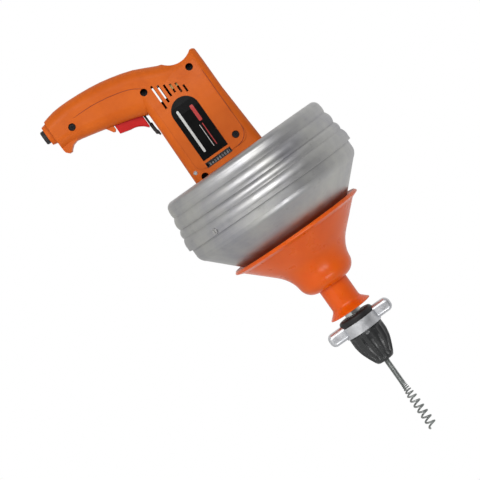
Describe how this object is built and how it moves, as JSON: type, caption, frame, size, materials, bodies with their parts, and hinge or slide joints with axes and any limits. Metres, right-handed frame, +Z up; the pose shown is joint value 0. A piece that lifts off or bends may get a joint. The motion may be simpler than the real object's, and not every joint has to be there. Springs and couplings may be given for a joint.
{
  "type": "drain snake machine",
  "caption": "Pistol-grip drain cleaner: a geared motor turns a beaded metal drum of coiled cable, fed through a funnel guard and a jaw chuck to an auger tip.",
  "frame": {"origin": "middle of the chuck's mouth, on the spindle axis", "axes": "+X along the spindle towards the cable's tip, +Z up with the grip hanging down, -Y the operator's right"},
  "size_m": [0.5257, 0.216, 0.2751],
  "materials": {
    "orange_shell": "fine textured moulded nylon",
    "orange_guard": "smooth semi-gloss moulded plastic",
    "black_plate": "glossy black plate",
    "black_plastic": "satin black moulding",
    "black_sleeve": "fluted glass-filled nylon",
    "black_rubber": "matt rubber",
    "black_screw": "black oxide",
    "red_plastic": "satin moulded",
    "drum_metal": "spun, with fine circumferential lines",
    "collar_metal": "polished casting",
    "cast_alloy": "as cast",
    "bright_steel": "zinc plated",
    "polished_steel": "polished tube",
    "gear_steel": "machined",
    "cable_steel": "drawn spring wire, lightly oiled",
    "lamination": "stacked laminations",
    "copper": "enamelled copper",
    "bronze": "sintered bronze",
    "carbon": "pressed carbon"
  },
  "bodies": {
    "root": {"right_housing": "orange_shell", "left_housing": "orange_shell", "housing_screws": "black_screw", "nameplates": "black_plate", "vent_grilles": "black_plastic", "case_pin": "bright_steel", "cord_gland": "black_rubber", "gear_case": "cast_alloy", "gear_plate": "cast_alloy", "case_screws": "bright_steel", "spindle_bearing": "bright_steel", "armature_bearings": "bright_steel", "gear_bushes": "bronze", "stator_core": "lamination", "field_coils": "copper", "brush_holders": "bronze", "brush_springs": "bright_steel", "carbon_brushes": "carbon", "switch_body": "black_plastic"},
    "trigger": {"trigger": "red_plastic"},
    "reversing_lever": {"reversing_lever": "black_plastic"},
    "armature": {"armature_shaft": "bright_steel", "armature_core": "lamination", "armature_windings": "copper", "commutator": "copper", "cooling_fan": "black_plastic"},
    "countershaft": {"countershaft": "gear_steel", "countershaft_gear": "gear_steel"},
    "drum": {"drum_rear_shell": "drum_metal", "drum_front_shell": "drum_metal", "drum_screws": "bright_steel", "drive_hub": "cast_alloy", "hub_screws": "bright_steel", "spindle": "gear_steel", "spindle_nut": "bright_steel", "output_gear": "gear_steel", "neck_flange": "bright_steel", "guide_tube": "polished_steel", "retaining_ring": "bright_steel", "stored_cable": "cable_steel", "chuck_rear_ring": "black_plastic", "winged_collar": "collar_metal", "chuck_body": "gear_steel"},
    "hand_guard": {"hand_guard": "orange_guard", "guard_bushes": "bronze"},
    "nose_sleeve": {"nose_sleeve": "black_sleeve"},
    "jaw_1": {"jaw_1": "gear_steel"},
    "jaw_2": {"jaw_2": "gear_steel"},
    "jaw_3": {"jaw_3": "gear_steel"},
    "working_cable": {"working_cable": "cable_steel"}
  },
  "joints": [
    {"name": "drum_spin", "type": "hinge", "parent": "root", "child": "drum", "pos_m": [0, 0, 0], "axis": [1, 0, 0], "continuous": true},
    {"name": "countershaft_spin", "type": "hinge", "parent": "root", "child": "countershaft", "pos_m": [0, 0.01089, -0.02579], "axis": [1, 0, 0], "continuous": true},
    {"name": "armature_spin", "type": "hinge", "parent": "root", "child": "armature", "pos_m": [0, 0, -0.017], "axis": [1, 0, 0], "continuous": true},
    {"name": "trigger_pull", "type": "slide", "parent": "root", "child": "trigger", "axis": [-1, 0, 0], "range_m": [0, 0.0065], "stiffness_N_per_m": 500, "springref_m": -0.004},
    {"name": "reverse_swing", "type": "hinge", "parent": "root", "child": "reversing_lever", "pos_m": [-0.384, 0, -0.062], "axis": [0, 0, 1], "range_deg": [-13, 13]},
    {"name": "guard_spin", "type": "hinge", "parent": "drum", "child": "hand_guard", "pos_m": [0, 0, 0], "axis": [1, 0, 0], "continuous": true},
    {"name": "sleeve_turn", "type": "hinge", "parent": "drum", "child": "nose_sleeve", "pos_m": [0, 0, 0], "axis": [1, 0, 0], "range_deg": [0, 540]},
    {"name": "cable_feed", "type": "slide", "parent": "drum", "child": "working_cable", "axis": [1, 0, 0], "range_m": [0, 0.09]},
    {"name": "jaw_1_slide", "type": "slide", "parent": "drum", "child": "jaw_1", "axis": [-0.9703, 0, 0.2419], "range_m": [0, 0.0039]},
    {"name": "jaw_2_slide", "type": "slide", "parent": "drum", "child": "jaw_2", "axis": [-0.9703, -0.2095, -0.121], "range_m": [0, 0.0039]},
    {"name": "jaw_3_slide", "type": "slide", "parent": "drum", "child": "jaw_3", "axis": [-0.9703, 0.2095, -0.121], "range_m": [0, 0.0039]}
  ],
  "couplings": [
    {"joint": "countershaft_spin", "follows": "drum_spin", "ratio": -4.0909},
    {"joint": "armature_spin", "follows": "drum_spin", "ratio": 21.364},
    {"joint": "jaw_1_slide", "follows": "sleeve_turn", "m_per_rad": 0.0004138},
    {"joint": "jaw_2_slide", "follows": "sleeve_turn", "m_per_rad": 0.0004138},
    {"joint": "jaw_3_slide", "follows": "sleeve_turn", "m_per_rad": 0.0004138}
  ]
}
